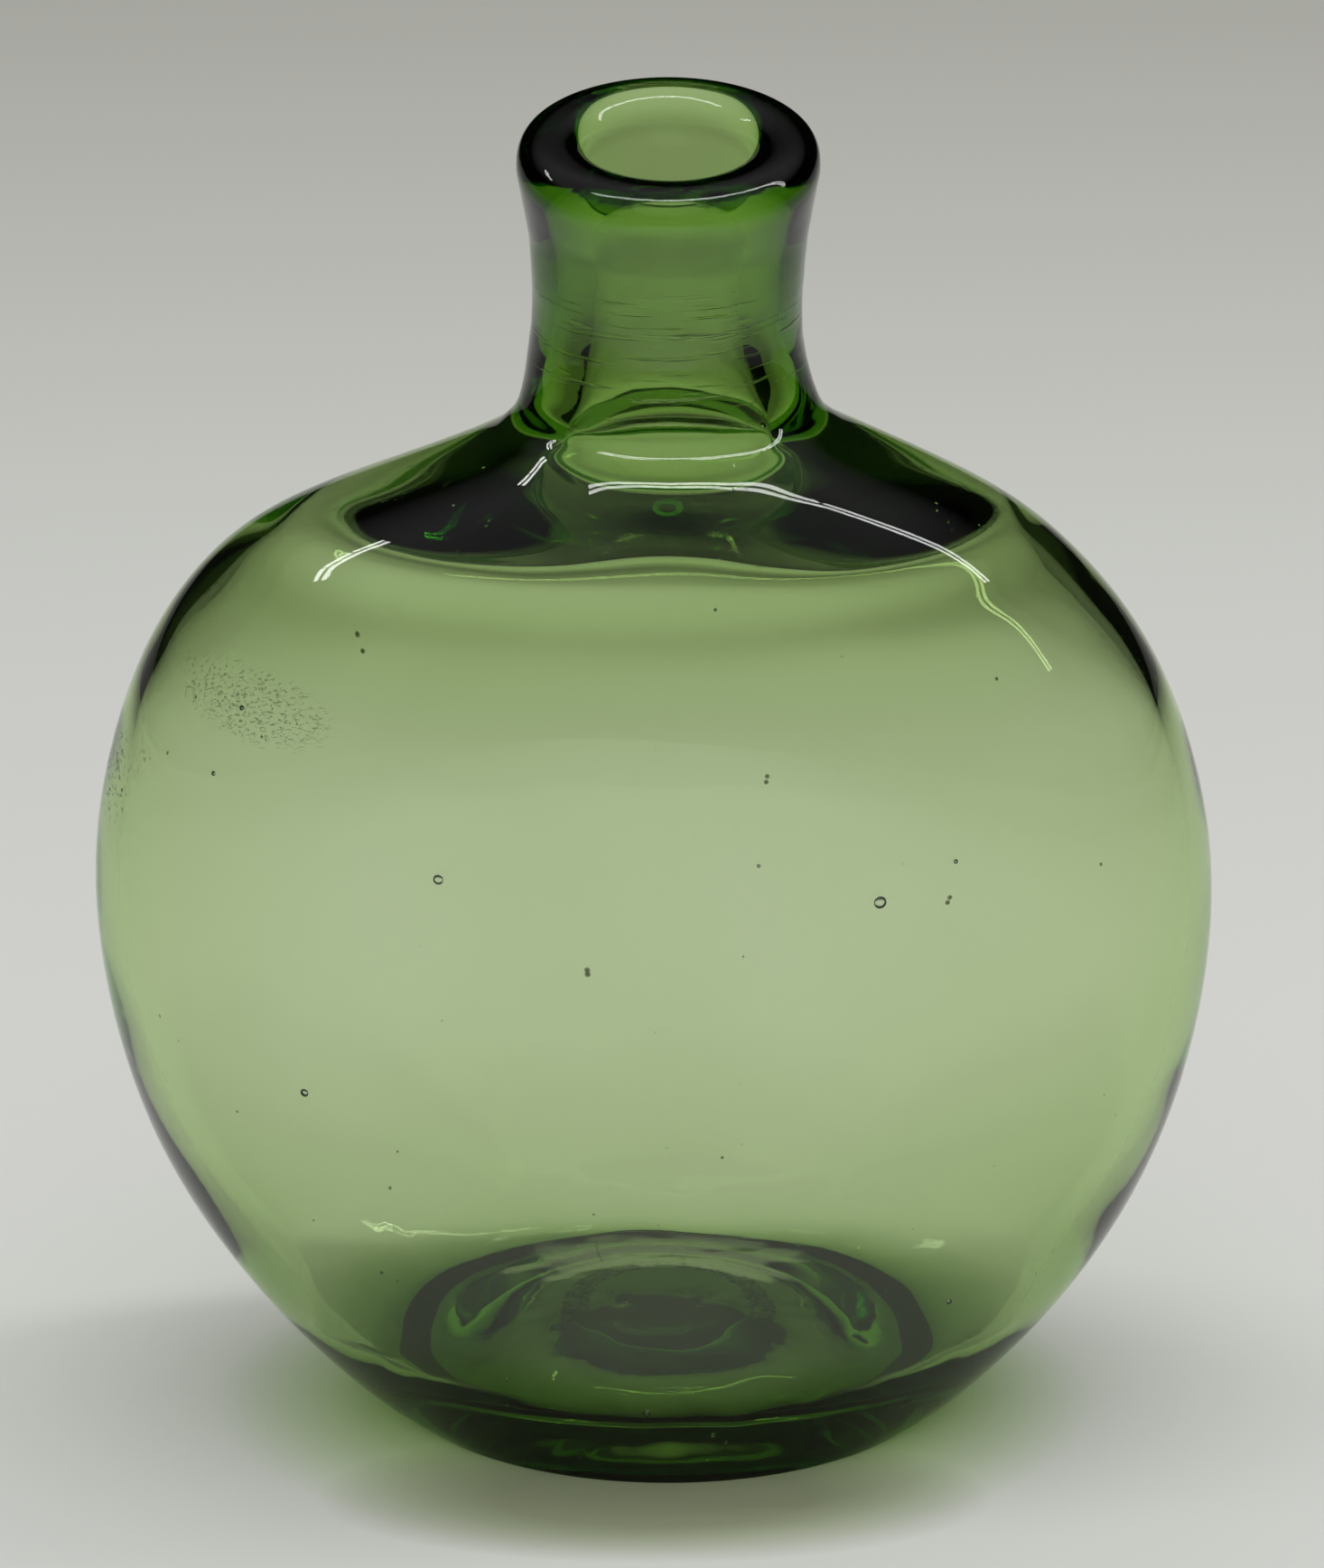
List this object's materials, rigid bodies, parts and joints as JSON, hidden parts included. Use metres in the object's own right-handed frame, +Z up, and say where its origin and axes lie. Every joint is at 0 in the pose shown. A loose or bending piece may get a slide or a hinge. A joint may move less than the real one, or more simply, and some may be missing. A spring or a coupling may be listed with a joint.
{
  "type": "pocket bottle",
  "caption": "Free-blown green glass pocket bottle: flattened oval body, short thick neck, rounded lip, pushed-up foot with a pontil scar; stands upright and holds a drink.",
  "frame": {"origin": "middle of the bounding box in plan, on the level ring of the foot that the bottle stands on", "axes": "+Z up along the neck, X along the width of the flattened body, -Y out of the front face, which is the lower side of the slanted lip"},
  "size_m": [0.1104, 0.0622, 0.1307],
  "materials": {
    "green_glass": "fire-polished, slightly uneven, with small bubbles and fine scratches",
    "broken_glass": "rough broken glass, worn dull on its high points"
  },
  "bodies": {
    "root": {"pontil_scar": "broken_glass", "base": "green_glass", "body": "green_glass", "shoulder": "green_glass", "neck": "green_glass", "lip": "green_glass"}
  },
  "joints": []
}
